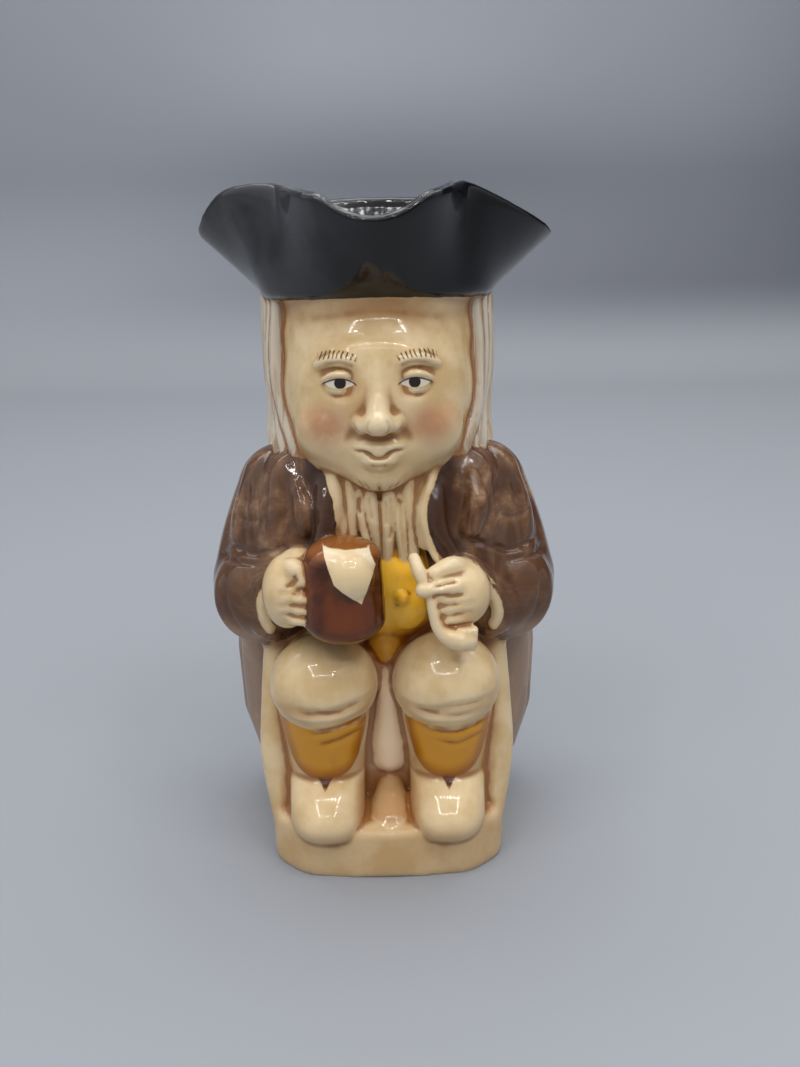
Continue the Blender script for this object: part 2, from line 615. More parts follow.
def makeHead():
    h = head
    addBall("cream", (0, -3, 124), (24.4, 24.5, 26), segments=64)
    addBall("cream", (0, -4.5, 134), (24.6, 22.4, 17), segments=64)
    addBall("cream", (0, -11.0, 122), h["face"], segments=64)
    addBall("cream", (0, -17.4, 110.6), (18.6, 13.8, 12.6), segments=64)
    addBalls("cream", (10.8, -21.8, 113.6), (9.6, 8.8, 9.6))
    addBalls("cream", (14.6, -12, 109.4), (8, 8.4, 8.6))
    addBall("cream", (0, -24.6, 109.0), (10.4, 7.2, 8))
    addBall("cream", (0, -26.6, 103.2), (7.4, 5.2, 4.8))
    addBall("cream", (0, -27.0, 131), (12, 3.8, 5))
    addLoft("cream", [[(share * 0.86 * x, share * 0.95 * y, z + lift) for x, y, z in hatRing(0)]
                      for share, lift in ((0.9, -8), (0.97, -4), (1, -1), (1, 2))])


def makeFeatures():
    h = head
    s, eye, brow, nose, mouth = h["eyeSpacing"], h["eye"], h["brow"], h["nose"], h["mouth"]
    addRolls("cream", [(3.8, -29.6, brow - 0.2), (s, -30.2, brow + 1.4), (s + 5.4, -26.6, brow - 0.2)], [1.2, 1.6, 1.0])
    addRoll("cream", [(0, -29.4, brow + 0.4), (0, -31.4, 123.6), (0, -33.4, nose + 3.4)], [2.2, 2.3, 2.9])
    addBall("cream", (0, -34.0, nose + 1.9), (3.7, 3.7, 3.3))
    addBalls("cream", (3.6, -32.0, nose + 1.3), (2.4, 2.8, 2.2))
    addRoll("cream", [(-7, -29.4, mouth + 0.9), (-2.8, -31.6, mouth + 1.3), (0, -31.9, mouth + 1.1),
                      (2.8, -31.6, mouth + 1.3), (7, -29.4, mouth + 0.9)], [0.9, 1.4, 1.4, 1.4, 0.9])
    addRoll("cream", [(-5.8, -29.6, mouth - 0.6), (0, -31.9, mouth - 2.0), (5.8, -29.6, mouth - 0.6)], [1.0, 1.9, 1.0])
    marks([(s - 2.6, -33, eye + 0.2), (s + 0.4, -33, eye + 0.1), (s + 3.2, -31, eye)], 4.4, 1.9)
    marks([(4.2, -33.6, nose + 3.4), (5.8, -33, nose + 0.6), (8.6, -32, nose - 3.6)], 1.8, 0.5)


def makeLids():
    h = head
    s, eye, nose, mouth = h["eyeSpacing"], h["eye"], h["nose"], h["mouth"]
    r = h["eyeball"]
    addBalls("cream", (s, -26.4, eye), (r, r, r))
    addRolls("cream", [(s - 4.1, -28.3, eye - 0.2), (s - 2.0, -29.8, eye + 1.5), (s + 0.3, -30.2, eye + 2.0),
                       (s + 2.6, -29.3, eye + 1.4), (s + 4.4, -27.5, eye - 0.2)], [0.5, 0.8, 0.95, 0.8, 0.45])
    addRolls("cream", [(s - 3.7, -28.4, eye - 0.7), (s - 1.4, -29.6, eye - 1.8), (s + 1.4, -29.5, eye - 1.9),
                       (s + 4.0, -27.7, eye - 0.6)], [0.4, 0.55, 0.55, 0.4])
    mark([(-7.0, -32, mouth + 0.8), (-3.4, -34, mouth - 0.1), (0, -34.4, mouth - 0.4), (3.4, -34, mouth - 0.1),
          (7.0, -32, mouth + 0.8)], 0.9, 0.85)
    mark([(0, -35, mouth + 2.8), (0, -35.4, nose - 0.8)], 1.0, 0.45)
    marks([(1.5, -36, nose - 0.9), (2.6, -35.2, nose - 0.8)], 0.9, 0.9)
    marks([(1.9, -36.4, nose + 3.0), (2.4, -36, nose + 1.2), (2.5, -35.6, nose - 0.4)], 0.8, 0.3)
    mark([(-3.6, -34, mouth - 4.3), (0, -35, mouth - 4.7), (3.6, -34, mouth - 4.3)], 1.3, 0.5)
    marks([(s - 3.6, -31, eye + 3.6), (s, -32, eye + 4.5), (s + 4, -30, eye + 3.2)], 0.8, 0.35)


hair = {
    "locks": (  # down the side of the face and on to the shoulder, front lock first
        ((23.6, -10.8, 143), (24.4, -11.4, 126), (23.2, -13.4, 115), (20.6, -16.0, 108), (20.2, -16.4, 104.4)),
        ((25.2, -8.0, 143), (25.8, -8.6, 126), (24.6, -10.4, 115), (23.2, -13.0, 107), (22.8, -13.6, 103.4)),
        ((26.4, -4.8, 143), (26.6, -5.4, 126), (25.6, -6.6, 115), (25.2, -9.0, 107), (25.0, -9.6, 103.6)),
        ((26.8, -1.8, 142.5), (27.0, -2.0, 126), (25.6, -2.6, 114), (26.6, -4.0, 107), (27.0, -5.0, 104)),
        ((27.2, 2.6, 142), (27.4, 2.6, 126), (26.4, 2.6, 114), (27.4, 2.0, 107), (27.6, 1.0, 104)),
        ((26.8, 7.0, 141.5), (27.2, 7.2, 126), (26.8, 7.4, 114), (27.2, 7.4, 104)),
        ((25.8, 11.4, 141), (26.4, 11.8, 126), (26.2, 12.2, 114), (26.0, 12.4, 103)),
        ((24.0, 15.6, 140.5), (24.8, 16.2, 126), (24.6, 16.8, 114), (23.8, 17.0, 102)),
        ((21.4, 19.4, 140), (22.2, 20.2, 126), (22.0, 21.0, 114), (21.0, 21.2, 101)),
        ((17.8, 22.6, 139.5), (18.6, 23.6, 126), (18.4, 24.4, 114), (17.4, 24.6, 100)),
        ((13.4, 24.8, 139), (14.0, 26.2, 126), (14.0, 27.0, 114), (13.0, 27.0, 99.5)),
        ((8.8, 26.0, 138.6), (9.0, 27.8, 126), (9.0, 28.6, 114), (8.6, 28.4, 99)),
    ),
    "lockRadius": (1.7, 2.3),
    "sway": 0.35,
    "seed": 4,
}


def makeHair():
    h = hair
    rng = np.random.default_rng(h["seed"])
    addBall("hair", (0, 6, 121), (25.8, 19.6, 30), segments=64)
    addBalls("hair", (20.6, -1, 124), (5.2, 8, 22))
    addRoll("hair", [(0, 25.6, 138), (0, 28.2, 122), (0, 28.8, 99)], [2.6, 3, 2.6])
    for side in (-1, 1):
        for i, line in enumerate(h["locks"]):
            radius = h["lockRadius"][i > 3] + rng.uniform(-0.2, 0.2)
            line = [(side * (x + rng.uniform(-1, 1) * h["sway"]), y, z) for x, y, z in line]
            addRoll("hair", line, [radius] * (len(line) - 1) + [radius * 0.7])
            shift = Vector((line[1][0], line[1][1], 0)).normalized() * 2
            mark([tuple(Vector(p) + shift) for p in line], 0.6, 0.2)


# hat

hat = {
    "ring": (28.0, 27.0),  # half width and half depth at the head
    "squareness": 2.6,
    "flare": -0.09,  # how much later, or sooner if below 0, the brim spreads at the front
    "ringHeight": 142.0,
    "ringTilt": 3.4,
    "wall": 4.2,
    "swell": 0.9,
    "rolled": ((0.14, 0.3), (0.36, 0.85), (0.58, 1), (0.85, 0.7)),  # the rim's top: shares of wall and swell
    "dish": ((0.93, 1.2), (0.6, 2.2)),  # shares of the rise, and of the wall
    "steps": 12,
    # the rim: degrees from the front, reach, height
    "front": ((0, 40.9, 162.6), (10.4, 41.2, 164.3), (18, 41.5, 167.7), (47, 30.5, 169.3)),
    "leftSide": ((106, 46.5, 156.0),),
    "rightSide": ((75, 38.5, 168.0), (106, 46.8, 156.8)),
    "back": ((150, 37, 163.2), (165, 36.2, 164.0), (180, 36, 164.1)),
}


def rim(angle, column):
    angle = math.degrees(angle)
    rows = (*hat["front"], *hat["leftSide" if angle < 180 else "rightSide"], *hat["back"])
    angle = min(angle, 360 - angle)
    slopes = [(b[column] - a[column]) / (b[0] - a[0]) for a, b in zip(rows, rows[2:])]
    slopes = [0, *slopes, 0]
    for i, (before, after) in enumerate(zip(rows, rows[1:])):
        span = after[0] - before[0]
        t = (angle - before[0]) / span
        if t <= 1:
            break
    ease = t * t * (3 - 2 * t)
    bend = span * t * (1 - t) * (slopes[i] * (1 - t) - slopes[i + 1] * t)
    return before[column] + (after[column] - before[column]) * ease + bend


def hatRing(rise, inset=0.0, lift=0.0):
    ring = []
    for angle in ringAngles():
        across, along = math.sin(angle), -math.cos(angle)
        power = hat["squareness"] if along < 0 else 2
        headReach = (abs(across / hat["ring"][0]) ** power + abs(along / hat["ring"][1]) ** power) ** (-1 / power)
        curve = 1 + hat["flare"] * max(0, -along) ** 4
        headHeight = hat["ringHeight"] - hat["ringTilt"] * along
        reachGain, heightGain = rim(angle, 1) - headReach, rim(angle, 2) - headHeight
        lean = math.hypot(reachGain, heightGain) / heightGain
        reach = headReach + reachGain * rise ** curve - inset * lean
        ring.append((reach * across, reach * along, headHeight + heightGain * rise + lift))
    return ring


def makeHat():
    wall, swell, steps = hat["wall"], hat["swell"], hat["steps"]
    inner = [(0.8 * x, 0.8 * y, z + 0.6) for x, y, z in hatRing(0)]
    under = [(0.97 * x, 0.97 * y, z - 0.5) for x, y, z in hatRing(0)]
    outside = [hatRing(i / steps) for i in range(steps)]
    rolled = [hatRing(1, inset * wall, lift * swell) for inset, lift in hat["rolled"]]
    dish = [hatRing(rise, inset * wall) for rise, inset in hat["dish"]]
    addLoft("hat", [inner, under, *outside, hatRing(0.985), *rolled, *dish])


def makeLip():  # a groove between two thin ridges, where the jug pours
    ring = hatRing(1, 0.5 * hat["wall"], hat["swell"] + 1)
    mark([ring[i] for i in range(-20, 21, 2)], 1.3, 0.7)


# handle

handle = {
    "path": ((0, 24, 139), (0, 38, 144.5), (0, 53, 136), (0, 57.5, 113), (0, 53, 84), (0, 42, 62), (0, 27, 52)),
    "radii": (6, 5.2, 4.9, 4.9, 4.9, 5.3, 6.4),
    "widen": 1.3,
}


def makeHandle():
    piece = addRoll("coat", handle["path"], handle["radii"])
    piece.scale.x = handle["widen"]


# the hollow inside

hollow = {
    # height, middle, half width, half depth, squareness
    "rings": (
        (6, 8, 19, 16, 2.4), (10, 9, 23.5, 18.5, 2.6), (22, 10.5, 29, 18.5, 2.6), (38, 10.5, 33, 20, 2.6),
        (56, 8, 33.5, 22, 2.5), (74, 4.5, 33, 23.5, 2.3), (90, 3.5, 27, 19.5, 2.1), (103, 1, 20.5, 18, 2.0),
        (114, -1, 21.5, 20.5, 2.0), (128, -0.5, 22.5, 22, 2.0),
    ),
    "above": 20,  # how far it goes on over the hat
}


def makeHollow():
    steps = hat["steps"]
    rings = [oval(*row) for row in hollow["rings"]]
    rings += [hatRing(i / steps, hat["wall"]) for i in range(steps + 1)]
    rings.append([(x, y, z + hollow["above"]) for x, y, z in rings[-1]])
    return addLoft("hollow", rings)


# building the jug

def addField(mesh, name, values):
    layer = mesh.attributes.new(name, "FLOAT", "POINT")
    layer.data.foreach_set("value", values.astype(np.float32))


def addCrease(mesh, name, moved, normals, limit):  # how deep each point lies below its softened surroundings
    addField(mesh, name, np.clip((moved * normals).sum(1), -limit, limit))


def addZoneFields(mesh, zones):  # how much nearer each point is to its own zone's clay than to the rest
    places = [v.co for v in mesh.vertices]
    distances = {}
    for zone, piece in zones.items():
        tree = BVHTree.FromPolygons([v.co for v in piece.data.vertices],
                                    [tuple(f.vertices) for f in piece.data.polygons])
        find = tree.find_nearest
        distances[zone] = np.array([find(p)[3] for p in places]) / mm
    for zone in zones:
        others = np.min([d for name, d in distances.items() if name != zone], axis=0)
        addField(mesh, zone + "Field", np.clip(others - distances[zone], -surface["zoneLimit"], surface["zoneLimit"]))


rubbed = {  # centre, radii and rounds of what is rubbed smooth after the first and the second fusing
    "mass": (((24, -14, 88), (15, 15, 18), 40), ((31, -10, 72), (16, 14, 16), 24), ((0, -20, 112), (26, 20, 22), 60),
             ((20, -14, 131), (10, 12, 15), 50)),
    "form": (((0, -31, 118), (17, 12, 20), 8),),
}

for make in (makeBase, makeThighs, makeCoat, makeChest, makeHead, makeHandle, makeHat):
    make()
jug = fuse(None, surface["massVoxel"], surface["massSoftening"])
softenAround(jug, rubbed["mass"])
makeMarks(jug)
print("big shapes fused:", len(jug.data.vertices))

for make in (makePanel, makeLegs, makeCoatFronts, makeFists, makeShirt, makeFeatures):
    make()
jug = fuse(jug, surface["formVoxel"], surface["formSoftening"])
makeMarks(jug)
softenAround(jug, rubbed["form"])
print("forms fused:", len(jug.data.vertices))

for make in (makePleats, makeMugAndPipe, makeFingers, makeLids, makeHair, makeLip):
    make()
jug = fuse(jug, surface["fineVoxel"], surface["fineSoftening"])
makeMarks(jug)
applyModifier(jug, "SMOOTH", iterations=1)
jug.name = jug.data.name = "toby_jug_glazed"
print("fine parts fused:", len(jug.data.vertices))

co, no, ends = readPoints(jug.data), readNormals(jug.data), readEdges(jug.data)
co[:, 2] = np.where(co[:, 2] < surface["foot"], 0, co[:, 2])  # a flat foot
writePoints(jug.data, co)
fineRounds, broadRounds, wideRounds = surface["creaseRounds"]
fineLimit, broadLimit, wideLimit = surface["creaseLimits"]
fine = relaxed(co, ends, fineRounds)
broad = relaxed(fine, ends, broadRounds)
addCrease(jug.data, "creaseFine", fine - co, no, fineLimit)
addCrease(jug.data, "creaseBroad", broad - co, no, broadLimit)
print("creases found")

(behind, fadeBack), (below, fadeDown) = surface["frontEnds"], surface["footEnds"]
seen = np.clip((behind - co[:, 1]) / fadeBack, 0, 1) * np.clip((co[:, 2] - below) / fadeDown, 0, 1)
group = jug.vertex_groups.new(name="hidden")
steps = surface["hiddenSteps"]
for step in range(steps + 1):  # the front keeps more of its faces than the back
    here = np.flatnonzero(np.round(seen * steps) == step)
    if len(here):
        group.add(here.tolist(), 1 - step / steps * (1 - surface["hiddenShare"]), "REPLACE")
triangles = sum(len(f.vertices) - 2 for f in jug.data.polygons)
applyModifier(jug, "DECIMATE", ratio=surface["triangles"] / triangles, vertex_group="hidden",
              vertex_group_factor=surface["hiddenWeight"])
co = readPoints(jug.data)
wide = relaxed(co, readEdges(jug.data), wideRounds)
addCrease(jug.data, "creaseWide", wide - co, readNormals(jug.data), wideLimit)
print("thinned:", len(jug.data.polygons))

hollowClay = makeHollow()
applyModifier(jug, "BOOLEAN", object=hollowClay, operation="DIFFERENCE", solver="MANIFOLD")
print("hollowed:", len(jug.data.polygons))

del clay["hollow"]
zones = {zone: joinZone(zone) for zone in clay}
addZoneFields(jug.data, zones)
for piece in (*zones.values(), hollowClay):
    bpy.data.objects.remove(piece)
choose(jug)
bpy.ops.object.shade_smooth()
jug.vertex_groups.clear()
print("paint zones found")


# materials

def newMaterial(name):
    material = bpy.data.materials.new(name)
    material.use_nodes = True
    tree = material.node_tree
    return material, tree, tree.nodes["Principled BSDF"]


def setSocket(tree, socket, value):
    if isinstance(value, bpy.types.NodeSocket):
        tree.links.new(value, socket)
    else:
        socket.default_value = value


def node(tree, kind, inputs=None, **settings):
    made = tree.nodes.new(kind)
    for name, value in settings.items():
        setattr(made, name, value)
    for name, value in (inputs or {}).items():
        setSocket(tree, made.inputs[name], value)
    return made


def nodeTools(tree):  # the nodes that every material here needs
    def maths(operation, a, b=0.0, c=0.0):
        return node(tree, "ShaderNodeMath", {0: a, 1: b, 2: c}, operation=operation).outputs[0]

    def ramp(value, low, high, toLow=0.0, toHigh=1.0):  # a smooth step from low to high
        return node(tree, "ShaderNodeMapRange",
                    {"Value": value, "From Min": low, "From Max": high, "To Min": toLow, "To Max": toHigh},
                    interpolation_type="SMOOTHSTEP").outputs[0]

    def blend(share, a, b):
        made = node(tree, "ShaderNodeMix", data_type="RGBA")
        for socket, value in zip((made.inputs[0], made.inputs[6], made.inputs[7]), (share, a, b)):
            setSocket(tree, socket, value)
        return made.outputs[2]

    return maths, ramp, blend


def rgb(red, green, blue):  # from 0-255 screen values
    def linear(v):
        v /= 255
        return v / 12.92 if v <= 0.04045 else ((v + 0.055) / 1.055) ** 2.4
    return (linear(red), linear(green), linear(blue), 1.0)


paint = {
    "cream": rgb(226, 200, 156),
    "creamWarm": rgb(208, 176, 126),
    "creamPale": rgb(238, 218, 184),
    "shaded": rgb(176, 124, 72),
    "pooled": rgb(138, 82, 36),
    "pooledDeep": rgb(84, 46, 22),
    "tan": rgb(252, 224, 186),
    "coatDark": rgb(84, 55, 38),
    "coatMid": rgb(123, 89, 63),
    "coatLight": rgb(172, 136, 104),
    "coatEdge": rgb(58, 35, 26),
    "coatPale": rgb(176, 150, 128),
    "amber": rgb(214, 150, 42),
    "amberDeep": rgb(160, 92, 16),
    "vest": rgb(255, 196, 58),
    "mug": rgb(108, 52, 18),
    "mugDark": rgb(64, 28, 10),
    "hair": rgb(213, 200, 180),
    "hairDark": rgb(184, 156, 122),
    "hat": rgb(11, 12, 14),
    "hatPale": rgb(58, 59, 62),
    "blush": rgb(172, 114, 80),
    "white": rgb(236, 224, 200),
    "line": rgb(34, 24, 20),
}
glaze = {
    "roughness": 0.1,
    "ior": 1.45,
    "ripple": (0.1, 0.0012),  # strength, depth in metres
    "wide": (0.1, 1.6, 0.7),  # hollows: the depth where brown begins, where it is full, and how full
    "broad": (0.22, 0.95, 0.75),
    "fine": (0.012, 0.11, 0.8),
    "deep": (1.0, 2.0),
    "ridges": (-0.02, -0.14, 0.5),
    "underBrim": 0.4,
    "edge": 0.2,  # how soft the paint's edges are
}
patches = {  # across, from below, from above and from behind, each from none to full; then how strongly
    "jabot": ((14, 11.5), (76, 80), (107, 104), (-18, -21), 0.65),
    "panel": ((6.5, 4.5), (20, 24), (56, 52), (-30, -27), 1.0),
    "panelTop": (None, (22, 26), (55, 51), (-17, -19), 1.0),
    "base": (None, None, (17, 13), None, 0.3),
    "tongue": ((9, 6.5), (13.8, 15), (25, 22), (-20, -22), 0.65),
    "underKnee": (None, (43.5, 45.5), (49.5, 47), (-31, -34), 0.3),
    "shoeThroat": (None, (22.2, 23.6), (29.5, 28.5), (-27, -29), 1.0),
    "coatEdge": ((21, 18), (78, 81), None, (-18, -22), 0.85),
    "tails": ((26, 36), None, (68, 58), (22, -4), 0.65),
    "sleeves": ((26, 32), (60, 66), (90, 82), None, 0.65),
    "vest": (None, (58, 66), None, None, 1.0),
    "handleRoot": ((12, 10), (138.5, 140.5), None, (14, 18), 1.0),
}


def makeGlaze():
    material, tree, shader = newMaterial("paintedGlaze")
    maths, ramp, blend = nodeTools(tree)

    def attribute(name):
        return node(tree, "ShaderNodeAttribute", attribute_name=name).outputs["Fac"]

    def product(*values):
        total = values[0]
        for value in values[1:]:
            total = maths("MULTIPLY", total, value)
        return total

    def minus(a, b):
        return maths("SUBTRACT", a, b)

    def away(value, centre=0.0):  # how far from the centre, on either side of it
        return maths("ABSOLUTE", minus(value, centre))

    def scaleAdd(a, scale, b):
        return maths("MULTIPLY_ADD", a, scale, b)

    def larger(a, b):
        return maths("MAXIMUM", a, b)

    def noise(where, scale, detail=3.0, roughness=0.5, distortion=0.0):
        return node(tree, "ShaderNodeTexNoise", {"Vector": where, "Scale": scale, "Detail": detail,
                                                 "Roughness": roughness, "Distortion": distortion}).outputs["Fac"]

    def stretched(turn, scale):
        return node(tree, "ShaderNodeMapping", {"Vector": place, "Rotation": turn, "Scale": scale}).outputs[0]

    place = node(tree, "ShaderNodeTexCoord").outputs["Object"]
    scaled = node(tree, "ShaderNodeVectorMath", {0: place, 1: (1 / mm,) * 3}, operation="MULTIPLY").outputs[0]
    x, y, z = node(tree, "ShaderNodeSeparateXYZ", {0: scaled}).outputs
    side = maths("ABSOLUTE", x)
    cloud = noise(place, 90, 4, 0.55)
    wobble = product(minus(noise(place, 420, 2), 0.5), 0.9)
    creaseFine, creaseBroad, creaseWide = map(attribute, ("creaseFine", "creaseBroad", "creaseWide"))

    def zone(name):
        return ramp(maths("ADD", attribute(name + "Field"), wobble), -glaze["edge"], glaze["edge"])

    def patch(name):
        across, below, above, behind, strength = patches[name]
        ends = ((side, across), (z, below), (z, above), (y, behind))
        return product(*[ramp(axis, *noneToFull) for axis, noneToFull in ends if noneToFull], strength)

    # cream, brown where the glaze pools
    *wideEnds, wideShare = glaze["wide"]
    *broadEnds, broadShare = glaze["broad"]
    *fineEnds, fineShare = glaze["fine"]
    *ridgeEnds, ridgeShare = glaze["ridges"]
    poolWide = ramp(scaleAdd(cloud, 0.6, creaseWide), *wideEnds)
    poolBroad = ramp(scaleAdd(cloud, 0.3, creaseBroad), *broadEnds)
    poolFine = ramp(creaseFine, *fineEnds)
    chestShare = minus(1.0, patch("jabot"))
    poolWide, poolBroad = product(poolWide, chestShare), product(poolBroad, chestShare)
    underBrim = product(ramp(scaleAdd(product(x, x), 0.0075, z), 143.4, 145.8), ramp(y, -8, -14), glaze["underBrim"])
    panelTop = product(ramp(away(x, 0.6), 3.4, 2.0), patch("panelTop"))
    poolBroad = product(poolBroad, scaleAdd(panelTop, -0.6, 1.0))
    pool = larger(product(poolBroad, broadShare), product(poolFine, fineShare))
    pool = larger(pool, underBrim)
    cream = blend(ramp(cloud, 0.35, 0.68), paint["cream"], paint["creamWarm"])
    cream = blend(product(ramp(creaseFine, *ridgeEnds), ridgeShare), cream, paint["creamPale"])
    between = patch("panel")
    poolWide = product(poolWide, scaleAdd(between, -0.7, 1.0))
    cream = blend(between, cream, paint["tan"])
    for name in ("base", "tongue", "underKnee"):
        cream = blend(patch(name), cream, paint["shaded"])
    cream = blend(product(poolWide, wideShare), cream, paint["shaded"])
    cream = blend(product(pool, 0.95), cream, paint["pooled"])
    cream = blend(ramp(creaseBroad, *glaze["deep"]), cream, paint["pooledDeep"])
    legX = minus(side, leg["middle"])
    throat = minus(product(minus(z, leg["throatFoot"]), leg["throatSlope"]), away(legX))
    cream = blend(product(ramp(throat, -0.25, 0.3), patch("shoeThroat")), cream, paint["pooledDeep"])

    # the painted face
    h = head
    front = ramp(y, -20, -24)
    eyeX = minus(side, h["eyeSpacing"] + 0.1)
    eyeZ = minus(z, h["eye"])

    def spot(across, up, halfWidth, halfHeight):  # 0 in its middle, 1 at its edge
        return maths("SQRT", maths("ADD", maths("POWER", maths("DIVIDE", across, halfWidth), 2.0),
                                   maths("POWER", maths("DIVIDE", up, halfHeight), 2.0)))

    white = product(ramp(spot(eyeX, eyeZ, *h["eyeWhite"]), 1.08, 0.9), front)
    pupil = spot(maths("ADD", eyeX, 0.2), minus(eyeZ, 0.05), h["pupil"], h["pupil"])
    pupil = product(ramp(pupil, 1.05, 0.92), white)
    lidCurve = scaleAdd(product(eyeX, eyeX), -0.09, 1.05)
    lid = product(ramp(away(eyeZ, lidCurve), 0.3, 0.14), ramp(away(eyeX), 4.3, 3.7), front)
    browX = minus(eyeX, 0.4)
    browZ = minus(minus(z, h["brow"] + 2.6), product(product(browX, browX), -0.05))
    hairs = scaleAdd(side, 6.0, scaleAdd(browZ, 1.8, product(noise(place, 260, 2), 9.0)))
    hairs = ramp(maths("SINE", hairs), 0.1, 0.7)
    brow = product(ramp(away(browZ), 1.0, 0.55), ramp(away(browX), 5.0, 4.0), hairs, front)
    cheekX, cheekZ = h["cheek"]
    blush = product(ramp(spot(minus(side, cheekX), minus(z, cheekZ), *h["cheekSize"]), 1.15, 0.2),
                    ramp(noise(place, 160, 3, 0.6), 0.0, 0.5), front)
    cream = blend(product(blush, h["blush"]), cream, paint["blush"])
    cream = blend(white, cream, paint["white"])
    for share in (product(brow, 0.85), pupil, product(lid, 0.92)):
        cream = blend(share, cream, paint["line"])

    # sponged brown coat
    sponge = noise(stretched((0.5, 0.3, 0.2), (1, 1, 0.6)), 95, 6, 0.6, 0.9)
    fleck = noise(stretched((0.9, 0.2, 0.4), (1, 1, 3.5)), 380, 4, 0.65, 0.6)
    brown = blend(ramp(sponge, 0.36, 0.6), paint["coatDark"], paint["coatMid"])
    brown = blend(ramp(scaleAdd(fleck, 0.35, sponge), 0.68, 0.95), brown, paint["coatLight"])
    brown = blend(product(pool, 0.6), brown, paint["coatDark"])
    edge = product(ramp(scaleAdd(cloud, 1.5, attribute("coatField")), 6.4, 4.6), patch("coatEdge"))
    brown = blend(edge, brown, paint["coatEdge"])
    brown = blend(patch("tails"), brown, paint["coatPale"])
    brown = blend(patch("sleeves"), brown, paint["coatDark"])

    # hair in strands
    strand = noise(stretched((0, 0, 0), (1, 1, 0.05)), 520, 3, 0.6, 0.3)
    locks = blend(ramp(strand, 0.3, 0.55), paint["hairDark"], paint["hair"])
    locks = blend(product(poolFine, 0.7), locks, paint["pooled"])

    # amber vest and stockings, and the cream shin beside a stocking
    honey = scaleAdd(creaseFine, 4.0, scaleAdd(creaseWide, 0.12, cloud))
    honey = blend(ramp(honey, 0.36, 0.8), paint["amber"], paint["amberDeep"])
    honey = blend(product(patch("vest"), ramp(pool, 1.0, 0.5)), honey, paint["vest"])
    bulge = product(legX, legX)
    sole = scaleAdd(product(bulge, bulge), -0.0009, minus(z, leg["sockFoot"]))
    sole = scaleAdd(bulge, -0.02, sole)
    legSide = minus(ramp(z, 28, 42, 7.9, 10.4), away(legX))
    stocking = maths("MINIMUM", product(sole, 0.7), legSide)
    stocking = larger(stocking, minus(z, 48))
    honey = blend(product(ramp(stocking, 3.0, 0.2), 0.75), honey, paint["amberDeep"])
    honey = blend(product(pool, 0.42), honey, paint["pooled"])
    shin = blend(0.35, cream, paint["shaded"])
    shin = blend(product(ramp(away(stocking), 0.7, 0.1), 0.85), shin, paint["pooled"])
    honey = blend(ramp(scaleAdd(wobble, 0.4, stocking), -0.2, 0.25), shin, honey)

    # the mug, with froth running over one side of it
    stout = blend(ramp(noise(place, 90, 3, 0.5, 0.6), 0.36, 0.66), paint["mugDark"], paint["mug"])
    stout = blend(ramp(z, *mug["brim"]), stout, paint["pooled"])
    inside = None
    corners = mug["froth"]
    for (x1, z1), (x2, z2) in zip(corners, corners[1:] + corners[:1]):
        length = math.hypot(x2 - x1, z2 - z1)
        acrossShare, upShare = -(z2 - z1) / length, (x2 - x1) / length
        start = acrossShare * x1 + upShare * z1
        distance = scaleAdd(x, acrossShare, scaleAdd(z, upShare, -start))
        inside = distance if inside is None else maths("MINIMUM", inside, distance)
    foam = product(ramp(scaleAdd(wobble, 0.4, inside), -0.1, 0.15), ramp(y, -33, -34))
    stout = blend(foam, stout, blend(ramp(cloud, 0.4, 0.65), paint["cream"], paint["creamPale"]))

    # black hat, paler on its right side
    felt = product(ramp(x, 8, -26), ramp(noise(place, 34, 3, 0.6, 0.5), 0.3, 0.6))
    felt = blend(felt, paint["hat"], paint["hatPale"])

    # all of it together; the handle's brown does not show inside the hat
    inHat = ramp(scaleAdd(minus(z, hat["ringHeight"]), -0.41, y), 25.9, 24.4)
    colour = cream
    for name, layer in (("hair", locks), ("coat", brown), ("amber", honey), ("mug", stout), ("hat", felt)):
        share = zone(name)
        if name == "coat":
            share = product(share, minus(1.0, product(ramp(z, 133, 136), inHat)))
        if name == "hat":
            share = larger(share, product(patch("handleRoot"), inHat))
        colour = blend(share, colour, layer)
    setSocket(tree, shader.inputs["Base Color"], colour)
    shader.inputs["Roughness"].default_value = glaze["roughness"]
    shader.inputs["IOR"].default_value = glaze["ior"]
    strength, depth = glaze["ripple"]
    ripple = node(tree, "ShaderNodeBump",
                  {"Strength": strength, "Distance": depth, "Height": noise(place, 140, 2, 0.5)})
    setSocket(tree, shader.inputs["Normal"], ripple.outputs[0])
    return material


jug.data.materials.clear()
jug.data.materials.append(makeGlaze())
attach(jug, "root")
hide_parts("toby_jug")
print("glazed")


# stage, light and camera; right and left are as the camera sees them, and sizes are in metres

stage = {
    "floor": rgb(150, 153, 159),
    "wallLeft": rgb(144, 147, 155),
    "wallRight": rgb(41, 46, 58),
    "wallTop": rgb(168, 171, 178),
    "leftToRight": (-0.45, 0.4),  # where the wall changes its tone
    "glowAcross": (0.4, 0.05),
    "glowUp": (0.14, 0.27),
    "horizon": (0.006, 0.07),
    "roughness": 0.6,
    "halfWidth": 2.2,
    "front": -0.9,
    "back": 0.8,
    "wall": 1.4,
    "bend": 0.16,
}


